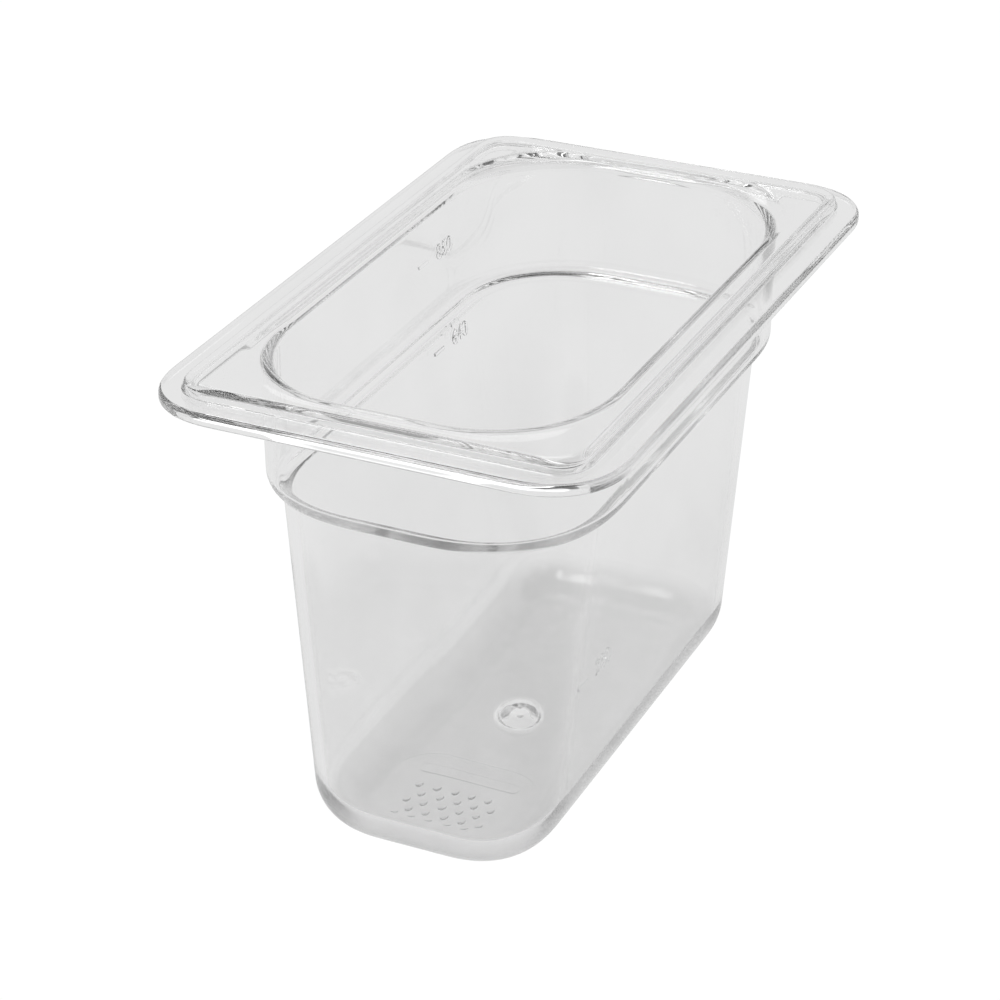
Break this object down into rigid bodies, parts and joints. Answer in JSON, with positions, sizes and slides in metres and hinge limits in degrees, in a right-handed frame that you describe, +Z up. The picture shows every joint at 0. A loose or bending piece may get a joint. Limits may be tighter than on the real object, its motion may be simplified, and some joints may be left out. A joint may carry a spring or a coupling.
{
  "type": "food pan",
  "caption": "Deep clear one-ninth size food pan with a flat rim, a stacking shoulder and tapered walls, moulded in one piece.",
  "frame": {"origin": "centre of the underside, where the pan stands", "axes": "+X along the long side of the rim, +Y along the short side, +Z up through the mouth"},
  "size_m": [0.176, 0.108, 0.1182],
  "materials": {
    "clear_polycarbonate": "clear colourless polycarbonate, polished above the shoulder and faintly hazy in the lower body"
  },
  "bodies": {
    "root": {"pan_body": "clear_polycarbonate"}
  },
  "joints": []
}
